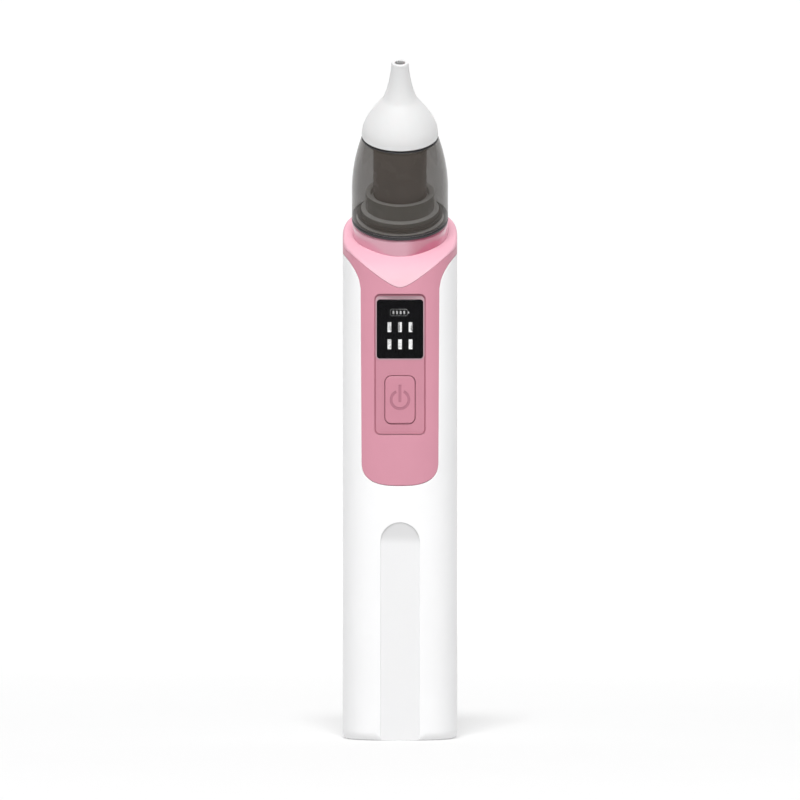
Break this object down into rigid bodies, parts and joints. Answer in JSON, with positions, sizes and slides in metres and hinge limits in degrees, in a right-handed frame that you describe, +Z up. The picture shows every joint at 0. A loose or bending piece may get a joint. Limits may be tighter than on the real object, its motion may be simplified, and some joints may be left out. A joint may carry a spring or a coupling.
{
  "type": "nasal aspirator",
  "caption": "Pen-shaped electric nasal aspirator: white body with pink front panel, tilted smoky collector cup and soft white nozzle.",
  "frame": {"origin": "centre of the flat base, on the surface that the aspirator stands on", "axes": "+Z up along the body, -Y towards the front panel, +X to the right seen from the front"},
  "size_m": [0.03, 0.0391, 0.1767],
  "materials": {
    "silicone_white": "soft satin silicone",
    "smoky_clear": "smoky clear plastic",
    "smoky_dark": "dark smoky plastic",
    "seal_rubber": "matt black rubber",
    "pearl_pink": "pearl pink, high gloss",
    "grey_plastic": "moulded, matt",
    "filter_foam": "open-cell foam",
    "light_pink": "smooth moulded, satin gloss",
    "rose_pink": "smooth moulded, satin gloss",
    "white_shell": "smooth moulded, gloss",
    "black_lens": "polished black lens",
    "lit_segments": "lit indicator segments",
    "button_pink": "smooth moulded, satin gloss",
    "black_plastic": "moulded, matt",
    "bright_steel": "bright steel",
    "board_green": "solder mask",
    "chip_black": "moulded package",
    "clear_silicone": "soft clear silicone",
    "motor_core": "enamelled copper winding",
    "magnet_dark": "ferrite",
    "bushing_brass": "sintered bronze",
    "damper_foam": "foam rubber",
    "battery_wrap": "shrink sleeve",
    "wire_red": "wire insulation",
    "wire_blue": "wire insulation",
    "wire_black": "wire insulation"
  },
  "bodies": {
    "housing": {"neck_ring": "pearl_pink", "neck_socket": "grey_plastic", "neck_seal": "seal_rubber", "air_filter": "filter_foam", "collar": "light_pink", "front_panel": "rose_pink", "body_sleeve": "white_shell", "base_cap": "white_shell", "display_window": "black_lens", "display_module": "black_plastic", "display_segments": "lit_segments", "tact_switch": "bright_steel", "main_board": "board_green", "board_chips": "chip_black", "board_screws": "bright_steel", "suction_hose": "clear_silicone", "pump_cover": "black_plastic", "valve_plate": "grey_plastic", "pump_diaphragm": "seal_rubber", "pump_rocker": "grey_plastic", "pump_case": "black_plastic", "pump_screws": "bright_steel", "motor_can": "bright_steel", "motor_magnets": "magnet_dark", "motor_bushings": "bushing_brass", "motor_end_bell": "black_plastic", "motor_sleeve": "damper_foam", "chassis": "grey_plastic", "battery_cell": "battery_wrap", "battery_pad": "damper_foam", "battery_wires": "wire_red", "motor_wires": "wire_blue", "charging_wires": "wire_black", "charging_board": "board_green", "charging_socket": "bright_steel"},
    "button": {"power_button": "button_pink", "switch_plunger": "black_plastic"},
    "rotor": {"motor_shaft": "bright_steel", "motor_rotor": "motor_core", "pump_crank": "grey_plastic"},
    "cup_base": {"cup_base": "smoky_dark", "cup_seal": "seal_rubber"},
    "cup": {"collector_cup": "smoky_clear", "inlet_tube": "smoky_dark"},
    "nozzle": {"silicone_nozzle": "silicone_white"}
  },
  "joints": [
    {"name": "power_button_press", "type": "slide", "parent": "housing", "child": "button", "axis": [0, 1, 0], "range_m": [0, 0.0004], "stiffness_N_per_m": 1500, "springref_m": -0.0002},
    {"name": "collector_pull", "type": "slide", "parent": "housing", "child": "cup_base", "axis": [0, -0.4695, 0.8829], "range_m": [0, 0.012]},
    {"name": "cup_pull", "type": "slide", "parent": "cup_base", "child": "cup", "axis": [0, -0.4695, 0.8829], "range_m": [0, 0.012]},
    {"name": "nozzle_pull", "type": "slide", "parent": "cup", "child": "nozzle", "axis": [0, -0.4695, 0.8829], "range_m": [0, 0.01]},
    {"name": "motor_spin", "type": "hinge", "parent": "housing", "child": "rotor", "pos_m": [0, 0.0021, 0.094], "axis": [0, 0, 1], "continuous": true}
  ]
}
